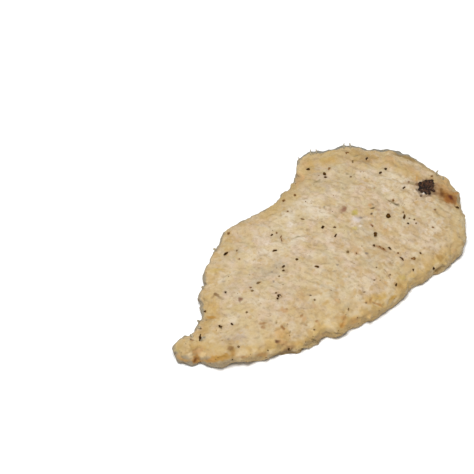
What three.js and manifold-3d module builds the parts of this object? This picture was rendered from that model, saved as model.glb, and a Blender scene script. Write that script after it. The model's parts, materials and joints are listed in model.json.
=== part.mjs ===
// A breaded chicken tenderloin: one flattened fillet in a thin, craggy flour crust flecked with cracked pepper.
// It lies on its underside. +X runs from the narrow tail to the broad end, +Y towards the side with the square
// shoulder and +Z up. The origin is on the resting surface, under the middle of the outline's box.
// All sizes are in millimetres. Fields are positive inside the food and fall by about 1 for each millimetre outwards.
import * as THREE from "three";
import { ImprovedNoise } from "three/addons/math/ImprovedNoise.js";
import { mergeVertices } from "three/addons/utils/BufferGeometryUtils.js";
import Module from "manifold-3d";

// Driving dimensions.
const LENGTH = 130;
const WIDTH = 75;
const THICKNESS = 9;
const TAIL_THICKNESS = 7.4;
const EDGE_RADIUS = 2.4;
const EDGE_SLOPE = { drop: 3.4, reach: 14 }; // the top falls this much towards the rim, over this width
const UNDERSIDE_SAG = 1.1; // how far the food would reach below the surface if nothing pressed it flat
const MESH_STEP = 2.15;
const PEPPER_COUNT = 25;
const RIM_CRUMB_COUNT = 26;
const FILLED = 0.01; // the least depth of a grid corner that is filled to keep the surface closed

// The plan of the rim, anticlockwise, in hundredths of half the length and half the width.
const RIM = [
  [43, 88], [36, 85], [26, 84], [13, 83], [-3, 93], [-17, 99], [-27, 93], [-36, 88], [-47, 83], [-53, 74],
  [-62, 70], [-71, 50], [-77, 50], [-84, 46], [-90, 50], [-97, 48], [-99, 38], [-95, 27], [-91, 16], [-88, 5],
  [-80, -2], [-74, -20], [-67, -29], [-60, -32], [-55, -43], [-43, -52], [-37, -51], [-34, -62], [-23, -66],
  [-12, -76], [-1, -84], [12, -85], [22, -86], [34, -93], [49, -99], [64, -96], [77, -82], [86, -68], [94, -52],
  [98, -30], [98, -10], [99, 12], [96, 33], [89, 45], [85, 63], [80, 74], [71, 86], [64, 97], [58, 103],
  [51, 97],
];
const RIM_STEPS = 360;

// The wrinkles of the coating run across the fillet, on circles round a point beside the tail.
const FAN = { centre: [-50, -27], reach: 70 };
const WRINKLE_LENGTH = 10;
const WRINKLE_PITCH = 2.9;
const WRINKLE_HEIGHT = 0.55;

// Bumps and hollows of the crust: each is as wide as its size and stands up or sinks by its height.
const SWELL = { size: 23, height: 0.9 };
const LUMP = { size: 7, height: 0.7 };
const CRAG = { size: 3.6, height: 1.5, reach: 7 };

// Shallow hollows where the underside stands clear of the surface. Noise above the first level starts to lift it, and
// above the second it is lifted by the full depth. The middle, out to the radius flatCentre, stays flat.
const HOLLOW = { size: 13, depth: 2.3, levels: [-0.06, 0.3], flatCentre: 7 };

// The tail ends in a round knob and a short roll of coating, with a crease between them.
const KNOB = { centre: [-59.1, 13.6, 3.4], radii: [5.5, 4.8, 4.1], turn: -50 };
const ROLL = { centre: [-54, 2.8, 3], radii: [8.5, 4.4, 4], turn: -52 };
const CREASE = { from: [-55, 17.5], to: [-59.5, 8.5], depth: 1.3, width: 1.5 };
const BLEND = 2.4;

// One burnt clump of coating sits on the broad end.
const BURNT_CLUMP = { centre: [50.6, -12.3], reach: 3.1, grains: 13, grain: 1.3 };

// The largest pepper fragments lie at these places, and smaller ones all over.
const LARGE_PEPPER = [[31, -9], [32, 29], [33, 23], [49, 14], [20, -10], [-21, 28], [-25, 0], [-47, 9], [-55, 11]];
const LARGE_GRAIN = 1.05;
const PEPPER_GRAIN = [0.5, 0.9];
const RIM_CRUMB = [0.8, 1.5];

const wasm = await Module();
wasm.setup();
const perlin = new ImprovedNoise();

// A closed mesh as a solid that can be joined and cut.
function solidOf(geometry) {
  const bare = geometry.clone();
  bare.deleteAttribute("normal");
  bare.deleteAttribute("uv");
  const merged = mergeVertices(bare, 1e-4);
  return new wasm.Manifold(
    new wasm.Mesh({
      numProp: 3,
      vertProperties: merged.attributes.position.array,
      triVerts: new Uint32Array(merged.index.array),
    }),
  );
}

function geometryOf(solid) {
  const { vertProperties, triVerts } = solid.getMesh();
  const geometry = new THREE.BufferGeometry();
  geometry.setAttribute("position", new THREE.BufferAttribute(vertProperties, 3));
  geometry.setIndex(new THREE.BufferAttribute(triVerts, 1));
  geometry.computeVertexNormals();
  return geometry;
}

// The base-n fraction of a whole number: an even scatter that looks random and is the same each time.
function scatter(index, base) {
  let share = 1;
  let total = 0;
  for (let rest = index; rest > 0; rest = Math.floor(rest / base)) {
    share /= base;
    total += share * (rest % base);
  }
  return total;
}

const between = ([low, high], share) => low + (high - low) * share;

// The rim as a closed smooth curve, and as a row of points for measuring.
const rimCurve = new THREE.CatmullRomCurve3(
  RIM.map(([x, y]) => new THREE.Vector3((x * LENGTH) / 200, (y * WIDTH) / 200, 0)),
  true,
  "centripetal",
);
const rimPoints = rimCurve.getSpacedPoints(RIM_STEPS).slice(0, RIM_STEPS);

function distanceToLine(x, y, a, b) {
  const [dx, dy] = [b[0] - a[0], b[1] - a[1]];
  const along = ((x - a[0]) * dx + (y - a[1]) * dy) / (dx * dx + dy * dy);
  const share = THREE.MathUtils.clamp(along, 0, 1);
  return Math.hypot(x - a[0] - share * dx, y - a[1] - share * dy);
}

// How far a point of the plan lies inside the rim, negative outside it.
function insideRim(x, y) {
  let nearest = Infinity;
  let inside = false;
  rimPoints.forEach((a, i) => {
    const b = rimPoints[(i + 1) % RIM_STEPS];
    nearest = Math.min(nearest, distanceToLine(x, y, [a.x, a.y], [b.x, b.y]));
    const crosses = a.y > y !== b.y > y && x < a.x + ((y - a.y) / (b.y - a.y)) * (b.x - a.x);
    if (crosses) inside = !inside;
  });
  return inside ? nearest : -nearest;
}

// The fillet as a slab with a rounded edge, thinner towards its tail.
function filletField(x, z, inside) {
  const fullness = THREE.MathUtils.smoothstep(x, -LENGTH / 2, -LENGTH / 8);
  const edge = 1 - THREE.MathUtils.clamp(inside / EDGE_SLOPE.reach, 0, 1);
  const top = THREE.MathUtils.lerp(TAIL_THICKNESS, THICKNESS, fullness) - EDGE_SLOPE.drop * edge ** 2;
  const half = (top + UNDERSIDE_SAG) / 2;
  const radius = Math.min(EDGE_RADIUS, half);
  const out = radius - inside;
  const up = Math.abs(z - (top - half)) - (half - radius);
  return radius - Math.hypot(Math.max(out, 0), Math.max(up, 0)) - Math.min(Math.max(out, up), 0);
}

function ellipsoidField({ centre, radii, turn }, x, y, z) {
  const angle = THREE.MathUtils.degToRad(turn);
  const [dx, dy] = [x - centre[0], y - centre[1]];
  const along = (dx * Math.cos(angle) + dy * Math.sin(angle)) / radii[0];
  const across = (dy * Math.cos(angle) - dx * Math.sin(angle)) / radii[1];
  const up = (z - centre[2]) / radii[2];
  return (1 - Math.hypot(along, across, up)) * Math.min(...radii);
}

// Joins two fields with a soft valley where they meet.
function blend(a, b) {
  const near = Math.max(BLEND - Math.abs(a - b), 0) / BLEND;
  return Math.max(a, b) + (near * near * BLEND) / 4;
}

function bumps({ size, height }, x, y, z) {
  return height * perlin.noise(x / size, y / size, z / size);
}

function wrinkles(x, y) {
  const [dx, dy] = [x - FAN.centre[0], y - FAN.centre[1]];
  const along = Math.atan2(dy, dx) * FAN.reach;
  const across = Math.hypot(dx, dy);
  const ridge = perlin.noise(along / WRINKLE_LENGTH, across / WRINKLE_PITCH, 4.5);
  const broad = perlin.noise(along / (2 * WRINKLE_LENGTH), across / (2.4 * WRINKLE_PITCH), 8.5);
  return WRINKLE_HEIGHT * (ridge + broad);
}

function hollows(x, y, inside) {
  const lift = THREE.MathUtils.smoothstep(perlin.noise(x / HOLLOW.size, y / HOLLOW.size, 3.5), ...HOLLOW.levels);
  const offCentre = THREE.MathUtils.smoothstep(Math.hypot(x, y), HOLLOW.flatCentre, 2 * HOLLOW.flatCentre);
  const offRim = THREE.MathUtils.smoothstep(inside, EDGE_RADIUS, 3 * EDGE_RADIUS);
  return HOLLOW.depth * lift * offCentre * offRim;
}

// The whole piece before it is pressed flat underneath.
function foodField(x, y, z, inside) {
  let field = filletField(x, z, inside);
  field = blend(field, ellipsoidField(ROLL, x, y, z));
  field = blend(field, ellipsoidField(KNOB, x, y, z));
  const crease = distanceToLine(x, y, CREASE.from, CREASE.to) / CREASE.width;
  field -= CREASE.depth * Math.exp(-crease * crease);
  const nearRim = 1 - THREE.MathUtils.smoothstep(inside, 0, CRAG.reach);
  const onTop = THREE.MathUtils.smoothstep(z, THICKNESS * 0.3, THICKNESS * 0.55);
  return (
    field +
    bumps(SWELL, x, y, 30) * onTop +
    bumps(LUMP, x, y, z + 60) +
    bumps(CRAG, x, y, z + 90) * nearRim +
    wrinkles(x, y) * onTop -
    hollows(x, y, inside) * (1 - onTop)
  );
}

// The height at which a vertical line leaves the food.
function topAt(x, y) {
  const inside = insideRim(x, y);
  let [low, high] = [THICKNESS / 3, THICKNESS * 1.5];
  for (let halving = 0; halving < 20; halving++) {
    const middle = (low + high) / 2;
    if (foodField(x, y, middle, inside) > 0) low = middle;
    else high = middle;
  }
  return low;
}

// A grid face whose inside and outside corners lie diagonally would give the surface an edge with four faces, so the
// outside corner nearest the surface becomes an inside one, until no such face is left.
function untangle(values, strides) {
  const planes = [[0, 1], [1, 2], [2, 0]];
  const end = values.length - strides[0] - strides[1] - strides[2];
  let changed = true;
  while (changed) {
    changed = false;
    for (let node = 0; node < end; node++)
      for (const [u, v] of planes) {
        const ring = [node, node + strides[u], node + strides[u] + strides[v], node + strides[v]];
        const [a, b, c, d] = ring.map((n) => values[n] > 0);
        if (a !== c || b !== d || a === b) continue;
        const outer = ring.filter((n) => values[n] <= 0);
        const nearest = values[outer[0]] > values[outer[1]] ? outer[0] : outer[1];
        values[nearest] = Math.max(-values[nearest], FILLED);
        changed = true;
      }
  }
}

// A closed surface round a field: one vertex in each grid cell that the surface crosses, and one quad round each
// grid edge that it crosses.
function surfaceOf(box, step) {
  const nodes = box.getSize(new THREE.Vector3()).divideScalar(step).ceil().addScalar(1).toArray();
  const strides = [1, nodes[0], nodes[0] * nodes[1]];
  const at = (cell) => cell[0] * strides[0] + cell[1] * strides[1] + cell[2] * strides[2];
  const place = (cell) => cell.map((n, axis) => box.min.getComponent(axis) + n * step);
  const values = new Float32Array(nodes[0] * nodes[1] * nodes[2]);
  for (let i = 0; i < nodes[0]; i++)
    for (let j = 0; j < nodes[1]; j++) {
      const [x, y] = place([i, j, 0]);
      const inside = insideRim(x, y);
      for (let k = 0; k < nodes[2]; k++) values[at([i, j, k])] = foodField(x, y, place([0, 0, k])[2], inside);
    }
  untangle(values, strides);

  const positions = [];
  const vertexOf = new Map();
  const corners = [0, 1, 2, 3, 4, 5, 6, 7].map((n) => [n & 1, (n >> 1) & 1, n >> 2]);
  function vertexIn(cell) {
    const key = at(cell);
    if (vertexOf.has(key)) return vertexOf.get(key);
    const sum = new THREE.Vector3();
    let crossings = 0;
    for (const corner of corners)
      for (let axis = 0; axis < 3; axis++) {
        if (corner[axis]) continue;
        const start = cell.map((n, a) => n + corner[a]);
        const [a, b] = [values[at(start)], values[at(start) + strides[axis]]];
        if (a > 0 === b > 0) continue;
        start[axis] += a / (a - b);
        sum.add(new THREE.Vector3(...place(start)));
        crossings++;
      }
    vertexOf.set(key, positions.length / 3);
    positions.push(...sum.divideScalar(crossings).toArray());
    return vertexOf.get(key);
  }

  const index = [];
  for (let i = 1; i < nodes[0] - 1; i++)
    for (let j = 1; j < nodes[1] - 1; j++)
      for (let k = 1; k < nodes[2] - 1; k++)
        for (let axis = 0; axis < 3; axis++) {
          const cell = [i, j, k];
          const [a, b] = [values[at(cell)], values[at(cell) + strides[axis]]];
          if (a > 0 === b > 0) continue;
          const [u, v] = [(axis + 1) % 3, (axis + 2) % 3];
          const back = (du, dv) => cell.map((n, x) => n - (x === u ? du : 0) - (x === v ? dv : 0));
          const ring = [back(0, 0), back(1, 0), back(1, 1), back(0, 1)].map(vertexIn);
          if (b > 0) ring.reverse();
          index.push(ring[0], ring[1], ring[2], ring[0], ring[2], ring[3]);
        }
  const geometry = new THREE.BufferGeometry();
  geometry.setAttribute("position", new THREE.Float32BufferAttribute(positions, 3));
  geometry.setIndex(index);
  return geometry;
}

// A small craggy grain, squashed and turned by its place in the scatter.
function grain(size, flatness, index) {
  const geometry = new THREE.IcosahedronGeometry(size, 0);
  geometry.scale(1, between([0.55, 0.95], scatter(index, 5)), flatness);
  geometry.rotateZ(scatter(index, 7) * Math.PI * 2);
  geometry.rotateX((scatter(index, 3) - 0.5) * 0.8);
  return geometry;
}

// The space under the surface that the piece lies on.
function tableSolid() {
  return solidOf(new THREE.BoxGeometry(2 * LENGTH, 2 * WIDTH, THICKNESS).translate(0, 0, -THICKNESS / 2));
}

function crustSolid() {
  const margin = 3 * MESH_STEP;
  const box = new THREE.Box3(
    new THREE.Vector3(-LENGTH / 2 - margin, -WIDTH / 2 - margin, -UNDERSIDE_SAG - margin),
    new THREE.Vector3(LENGTH / 2 + margin, WIDTH / 2 + margin, THICKNESS + margin),
  );
  return solidOf(surfaceOf(box, MESH_STEP)).subtract(tableSolid());
}

// Pepper fragments, half sunk in the top of the crust.
function pepperGrains() {
  const sunk = (size, x, y, index) => grain(size, 0.6, index).translate(x, y, topAt(x, y) + 0.1);
  const grains = LARGE_PEPPER.map(([x, y], index) => sunk(LARGE_GRAIN, x, y, index));
  const total = LARGE_PEPPER.length + PEPPER_COUNT;
  for (let index = 1; grains.length < total; index++) {
    const x = (scatter(index, 2) - 0.5) * LENGTH;
    const y = (scatter(index, 3) - 0.5) * WIDTH;
    if (insideRim(x, y) < EDGE_RADIUS) continue;
    grains.push(sunk(between(PEPPER_GRAIN, scatter(index, 11) ** 2), x, y, index));
  }
  return grains;
}

// Loose crumbs of coating that stick out all round the rim.
function rimCrumbs() {
  const grains = [];
  for (let index = 1; index <= RIM_CRUMB_COUNT; index++) {
    const share = (index + 0.7 * scatter(index, 2)) / (RIM_CRUMB_COUNT + 1);
    const spot = rimCurve.getPointAt(share % 1);
    const height = between([1.5, 4.2], scatter(index, 3));
    const size = between(RIM_CRUMB, scatter(index, 5) ** 2);
    grains.push(grain(size, 0.8, index).translate(spot.x * 0.995, spot.y * 0.995, height));
  }
  return grains;
}

// Burnt grains packed in a low heap.
function burntGrains() {
  const grains = [];
  const golden = Math.PI * (3 - Math.sqrt(5));
  for (let index = 1; index <= BURNT_CLUMP.grains; index++) {
    const reach = BURNT_CLUMP.reach * Math.sqrt((index - 0.5) / BURNT_CLUMP.grains);
    const x = BURNT_CLUMP.centre[0] + reach * Math.cos(index * golden);
    const y = BURNT_CLUMP.centre[1] + reach * Math.sin(index * golden);
    const size = BURNT_CLUMP.grain * between([0.75, 1.15], scatter(index, 3));
    grains.push(grain(size, 0.85, index).translate(x, y, topAt(x, y) + 0.4));
  }
  return grains;
}

// The crust with its grains, without scraps that touch nothing, flat underneath and centred on the origin.
function tenderloin() {
  const grains = [...pepperGrains(), ...rimCrumbs(), ...burntGrains()];
  const whole = grains.reduce((joined, geometry) => joined.add(solidOf(geometry)), crustSolid());
  const largest = whole.decompose().reduce((a, b) => (a.volume() > b.volume() ? a : b));
  const geometry = geometryOf(largest.subtract(tableSolid()));
  geometry.computeBoundingBox();
  const middle = geometry.boundingBox.getCenter(new THREE.Vector3());
  geometry.translate(-middle.x, -middle.y, 0);
  const crust = new THREE.MeshStandardMaterial({ color: 0xd2b98f, roughness: 0.72, metalness: 0 });
  const mesh = new THREE.Mesh(geometry, crust);
  mesh.name = "breaded_tenderloin";
  return mesh;
}

const group = new THREE.Group();
group.add(tenderloin());

export default group;
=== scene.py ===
import json
import math
import random

import bpy
import numpy as np
from mathutils import Matrix, Vector, noise
from mathutils.kdtree import KDTree

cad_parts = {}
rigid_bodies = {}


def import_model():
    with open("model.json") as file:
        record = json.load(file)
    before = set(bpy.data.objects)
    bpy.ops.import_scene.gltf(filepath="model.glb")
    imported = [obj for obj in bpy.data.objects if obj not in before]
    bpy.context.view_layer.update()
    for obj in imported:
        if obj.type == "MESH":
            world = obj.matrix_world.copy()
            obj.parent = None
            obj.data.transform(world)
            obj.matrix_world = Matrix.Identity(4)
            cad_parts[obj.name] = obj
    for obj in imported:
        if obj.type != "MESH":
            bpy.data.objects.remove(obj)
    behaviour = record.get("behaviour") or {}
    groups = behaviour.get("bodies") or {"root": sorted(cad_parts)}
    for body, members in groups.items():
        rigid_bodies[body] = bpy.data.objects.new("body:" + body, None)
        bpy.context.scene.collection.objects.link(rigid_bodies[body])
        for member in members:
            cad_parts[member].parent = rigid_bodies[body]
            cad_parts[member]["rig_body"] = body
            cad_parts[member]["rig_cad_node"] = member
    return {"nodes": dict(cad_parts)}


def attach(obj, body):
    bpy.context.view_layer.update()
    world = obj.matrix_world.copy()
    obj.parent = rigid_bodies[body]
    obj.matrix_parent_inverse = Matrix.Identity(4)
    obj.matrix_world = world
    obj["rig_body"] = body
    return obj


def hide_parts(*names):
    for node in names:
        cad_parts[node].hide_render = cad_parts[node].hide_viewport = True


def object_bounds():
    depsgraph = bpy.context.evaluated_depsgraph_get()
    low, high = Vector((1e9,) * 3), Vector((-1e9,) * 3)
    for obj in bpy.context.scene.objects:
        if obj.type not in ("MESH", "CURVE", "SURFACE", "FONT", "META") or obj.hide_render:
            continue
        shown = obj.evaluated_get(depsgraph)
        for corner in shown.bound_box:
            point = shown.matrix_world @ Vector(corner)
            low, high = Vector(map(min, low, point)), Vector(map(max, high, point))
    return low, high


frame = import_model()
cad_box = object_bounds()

# The camera looks down on the piece from the tail's near side, half a metre away, with a long lens.
# Flakes, stains and crumbs are placed by the pixel of the square picture at which the camera sees them.
PICTURE = 474  # pixels along each side
AZIMUTH = math.radians(-51)
ELEVATION = math.radians(52)
DISTANCE = 0.5
AIM = Vector((-0.00767, 0.03321, 0))
CAMERA_BACK = Vector((
    math.sin(AZIMUTH) * math.cos(ELEVATION),
    -math.cos(AZIMUTH) * math.cos(ELEVATION),
    math.sin(ELEVATION),
))
CAMERA_RIGHT = Vector((math.cos(AZIMUTH), math.sin(AZIMUTH), 0))
CAMERA_UP = CAMERA_BACK.cross(CAMERA_RIGHT)
bpy.ops.object.camera_add(location=AIM + DISTANCE * CAMERA_BACK)
camera = bpy.context.object
camera.rotation_euler = CAMERA_BACK.to_track_quat("Z", "Y").to_euler()
camera.data.lens = 100
camera.data.sensor_width = 36
bpy.context.scene.camera = camera


def sight(x, y):
    """The direction in which the camera sees a pixel."""
    reach = camera.data.sensor_width / camera.data.lens
    across = (x / PICTURE - 0.5) * reach
    down = (y / PICTURE - 0.5) * reach
    return (CAMERA_RIGHT * across - CAMERA_UP * down - CAMERA_BACK).normalized()


# The crust is a thin flour coating that has set in low wrinkles across the fillet, with crags round its rim.
# It takes the place of the modelled solid: the same form with a finer skin, pressed flat where it lies.
MM = 0.001
MERGE = 0.001 * MM
VOXEL = 0.37 * MM
SMOOTHING = 16  # passes
UNDERSIDE = 0.1 * MM  # faces below this height lie on the table
UNDERSIDE_SHARE = 0.1  # of those faces are kept
UPRIGHT = 0.3  # a point that faces up or down by less than this is on the rim
RIM_REACH = 8 * MM  # how far in the crags fade out
FAN = Vector((-112, -40)) * MM  # the wrinkles lie on circles round this point beyond the tail
FAN_STRETCH = 1.5  # they are this much longer than wide

node = frame["nodes"]["breaded_tenderloin"]
bpy.ops.object.select_all(action="DESELECT")
node.select_set(True)
bpy.context.view_layer.objects.active = node
bpy.ops.object.duplicate()
crust = bpy.context.object
crust.name = "crust"
crust.parent = None
del crust["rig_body"]
del crust["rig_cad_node"]
bpy.ops.object.mode_set(mode="EDIT")
bpy.ops.mesh.select_all(action="SELECT")
bpy.ops.mesh.remove_doubles(threshold=MERGE)
bpy.ops.object.mode_set(mode="OBJECT")
crust.data.remesh_voxel_size = VOXEL
bpy.ops.object.voxel_remesh()
crust.modifiers.new("smooth", "SMOOTH").iterations = SMOOTHING
bpy.ops.object.modifier_apply(modifier="smooth")
bpy.ops.object.mode_set(mode="EDIT")
bpy.ops.mesh.select_all(action="DESELECT")
bpy.ops.object.mode_set(mode="OBJECT")
for face in crust.data.polygons:
    face.select = face.center.z < UNDERSIDE
bpy.ops.object.mode_set(mode="EDIT")
bpy.ops.mesh.decimate(ratio=UNDERSIDE_SHARE)
bpy.ops.object.mode_set(mode="OBJECT")


def points_of(mesh, values="vertices", name="co"):
    """The places or normals of a mesh's vertices, one row each."""
    rows = np.zeros(3 * len(mesh.vertices), np.float32)
    getattr(mesh, values).foreach_get(name, rows)
    return rows.reshape(-1, 3)


def ramp(value, low, high):
    """0 where the value is at low, 1 at high, and smooth in between."""
    share = np.clip((value - low) / (high - low), 0, 1)
    return share * share * (3 - 2 * share)


def keep_attribute(mesh, name, values):
    mesh.attributes.new(name, "FLOAT", "POINT").data.foreach_set("value", values.astype(np.float32))


# How far each point lies inside the rim, seen from above.
smooth_places = points_of(crust.data)
facing = points_of(crust.data, "vertex_normals", "vector")
on_rim = np.flatnonzero(np.abs(facing[:, 2]) < UPRIGHT)
rim_tree = KDTree(len(on_rim))
for index in on_rim:
    rim_tree.insert((smooth_places[index, 0], smooth_places[index, 1], 0), index)
rim_tree.balance()
inside = np.array([rim_tree.find((x, y, 0))[2] for x, y in smooth_places[:, :2]])
keep_attribute(crust.data, "inside", inside)

# How far each relief acts on the top, on the rim, and on all of the crust but least on its underside.
weights = {
    "top": ramp(facing[:, 2], 0.1, 0.8) * (0.3 + 0.7 * ramp(inside, 0, RIM_REACH)),
    "rim": (1 - ramp(inside, 0, RIM_REACH)) * ramp(facing[:, 2], -0.8, -0.2),
    "all": ramp(facing[:, 2], -0.9, 0) * 0.8 + 0.2,
}
for name, values in weights.items():
    group = crust.vertex_groups.new(name=name)
    for index, weight in enumerate(values.tolist()):
        group.add([index], weight, "REPLACE")

# A map of the crust that runs along the wrinkles in one direction and across them in the other.
from_fan = smooth_places[:, :2] - FAN
outward = np.hypot(*from_fan.T) + smooth_places[:, 2]
around = (np.arctan2(from_fan[:, 1], from_fan[:, 0]) - math.atan2(-FAN.y, -FAN.x)) * outward / FAN_STRETCH
corners = np.zeros(len(crust.data.loops), np.int32)
crust.data.loops.foreach_get("vertex_index", corners)
wrinkle_map = crust.data.uv_layers.new(name="wrinkles")
wrinkle_map.data.foreach_set("uv", np.stack([around, outward], 1)[corners].ravel())


def relief(piece, name, cell, height, group="", coordinates="LOCAL", creased=False):
    """Raises and sinks a piece by noise with cells of this size, soft or with creases between lumps."""
    pattern = bpy.data.textures.new(name, "CLOUDS")
    pattern.noise_scale = cell
    pattern.noise_depth = 1
    pattern.noise_type = "HARD_NOISE" if creased else "SOFT_NOISE"
    lumps = piece.modifiers.new(name, "DISPLACE")
    lumps.texture = pattern
    lumps.texture_coords = coordinates
    lumps.vertex_group = group
    lumps.mid_level = 0.3 if creased else 0.5  # the noise's mean
    lumps.strength = height
    bpy.context.view_layer.objects.active = piece
    bpy.ops.object.modifier_apply(modifier=name)


ON_MAP = 2  # noise shows at half its size on a map
relief(crust, "lobes", 3.4 * MM, 1.2 * MM, "rim")
relief(crust, "folds", ON_MAP * 3.6 * MM, 1.1 * MM, "top", "UV", creased=True)
relief(crust, "wrinkles", ON_MAP * 1.5 * MM, 0.6 * MM, "top", "UV")
relief(crust, "crags", 1.6 * MM, 0.35 * MM, "rim")
relief(crust, "crumb", 0.8 * MM, 0.16 * MM, "all")

# No crag passes the solid's box.
low, high = (np.array(corner) for corner in cad_box)
places = np.clip(points_of(crust.data), low, high)
crust.data.vertices.foreach_set("co", places.ravel())
bpy.ops.object.shade_smooth()

RIM_HEIGHT = 4 * MM  # of the rim's widest part above the table
LEAST_FACING = 0.4  # a mark on a wall is laid out as if the wall faced the camera by at least this much
EDGE_FADE = (0.2, 1.6)  # where a mark starts to fade and where it ends, in half-lengths from its middle
DEPTH_FADE = (2, 4.5)  # the same above and below it, in mm


def crust_at(x, y):
    """Where the camera sees the crust at a pixel, or just beside one that misses it, and on which face."""
    ray = sight(x, y)
    hit, place, _, face = crust.ray_cast(camera.location, ray)
    if not hit:
        beside = camera.location + ray * ((RIM_HEIGHT - camera.location.z) / ray.z)
        _, place, _, face = crust.closest_point_on_mesh(beside)
    return place, face


def patch(x, y, length, width, turn):
    """Where the camera sees the crust at a pixel, half of a mark's length and of its width along the crust,
    and the way the crust faces. The length and width are in pixels, and the turn in degrees from level."""
    place, face = crust_at(x, y)
    normal = Vector(facing[crust.data.polygons[face].vertices[0]])
    normal += max(0, LEAST_FACING - normal.dot(CAMERA_BACK)) * CAMERA_BACK
    normal.normalize()

    def along_crust(across, up):
        ray = sight(x + across, y - up)
        reach = (place - camera.location).dot(normal) / ray.dot(normal)
        return camera.location + reach * ray - place

    lean = math.radians(turn)
    long_way = along_crust(math.cos(lean) * length / 2, math.sin(lean) * length / 2)
    wide_way = along_crust(-math.sin(lean) * width / 2, math.cos(lean) * width / 2)
    return place, long_way, wide_way, normal


def cover(mark, points):
    """How far a mark covers each of these points: 1 in its middle, falling softly to 0 past its edge."""
    centre, long_way, wide_way, normal = patch(*mark)
    to_mark = Matrix((long_way, wide_way, normal * MM)).transposed().inverted()
    along, across, above = np.array(to_mark) @ (points - np.array(centre)).T
    return (1 - ramp(np.hypot(along, across), *EDGE_FADE)) * (1 - ramp(np.abs(above), *DEPTH_FADE))


# Folds and hollows in the crust: where the camera sees each, its length and width, its turn from level, and
# how many millimetres deep it is, less than 0 where it stands up.
FOLDS = [
    (426, 187, 20, 17, 0, 0.9), (196.5, 358.5, 6, 4, 80, 0.4), (204, 320, 5, 2.4, 0, 0.7),
    (210, 318.5, 14, 2.4, 3, 0.5), (198, 303.5, 7, 14, 90, 1), (203, 292, 6, 7, 90, -0.4),
    (203.5, 284, 5, 3, 0, 0.7), (208, 262, 5, 5, 0, 0.5), (318, 343, 4, 3, 0, 0.5),
    (303, 350.5, 5, 3, 0, 0.5), (270.7, 357, 4, 3, 0, 0.5), (260.5, 359, 3, 3, 0, 0.4),
    (370.5, 299.5, 9, 2, 88, 0.4), (378, 304.5, 15, 2, -18, 0.35), (412, 183.5, 10, 2, -8, 0.35),
    (394, 203.5, 15, 2, -22, 0.35), (317, 181.5, 9, 2, 20, 0.3), (219, 297, 10, 2, -25, 0.4),
    (361, 217.5, 7, 2, 10, 0.3), (459.5, 201.5, 5, 5, 0, 0.45), (297, 176.5, 5, 3, 0, 0.9),
    (297.5, 157.5, 4, 4, 0, 0.6), (295.5, 170, 10, 3, 85, -0.4), (302, 155, 8, 3, 35, -0.3),
    (292, 185, 7, 4, 80, -0.6), (344, 322, 12, 3, 75, 0.25), (283, 331, 9, 3, 70, 0.3),
    (453, 186, 5, 12, 40, 0.9), (457, 194, 5, 7, 0, -0.8), (431, 171.5, 16, 4, -35, -0.45),
    (398, 152, 14, 5, -10, 1.2), (229, 365, 16, 4, 8, 0.9), (441.5, 270, 14, 5, 35, 1.3),
    (341, 337, 12, 4, 30, 0.4), (306, 348.5, 12, 3, 25, 0.4), (378, 149, 26, 3, 0, -0.4),
    (200.5, 323.5, 4, 8, 20, -0.5), (193, 363.5, 18, 5, 0, -0.5), (465, 225.5, 12, 3, 90, -0.3),
    (172.5, 355, 10, 3, -66, -0.35), (260.5, 211.5, 8, 3, 35, -0.3), (318.5, 341.5, 6, 3, 50, -0.3),
    (214, 250.5, 12, 4, 60, -0.5), (310.7, 345.5, 8, 3, 25, 0.35), (186, 336, 8, 3, 20, 0.3),
]
sink = sum(depth * MM * cover(mark, places) for *mark, depth in FOLDS)
places -= facing * sink[:, None]
places = np.clip(places, low, high)
crust.data.vertices.foreach_set("co", places.ravel())
crust.data.update()

# How deep each point lies in a crease, against the crust close round it. The crust's colour is darkened
# there as painted shade.
CREASE_SMOOTHING = 20  # passes
bpy.ops.object.select_all(action="DESELECT")
crust.select_set(True)
bpy.ops.object.duplicate()
softened = bpy.context.object
softened.modifiers.new("smooth", "SMOOTH").iterations = CREASE_SMOOTHING
bpy.ops.object.modifier_apply(modifier="smooth")
crease = ((points_of(softened.data) - places) * facing).sum(1)
keep_attribute(crust.data, "crease", crease)
bpy.data.objects.remove(softened)
crust.vertex_groups.clear()


LIGHT = 1.4  # how much brighter than its own colour a surface shows under the lights


def shown(red, green, blue):
    """The surface colour that shows as this colour under the lights."""
    return [((c / 255 + 0.055) / 1.055) ** 2.4 / LIGHT for c in (red, green, blue)] + [1]


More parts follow.
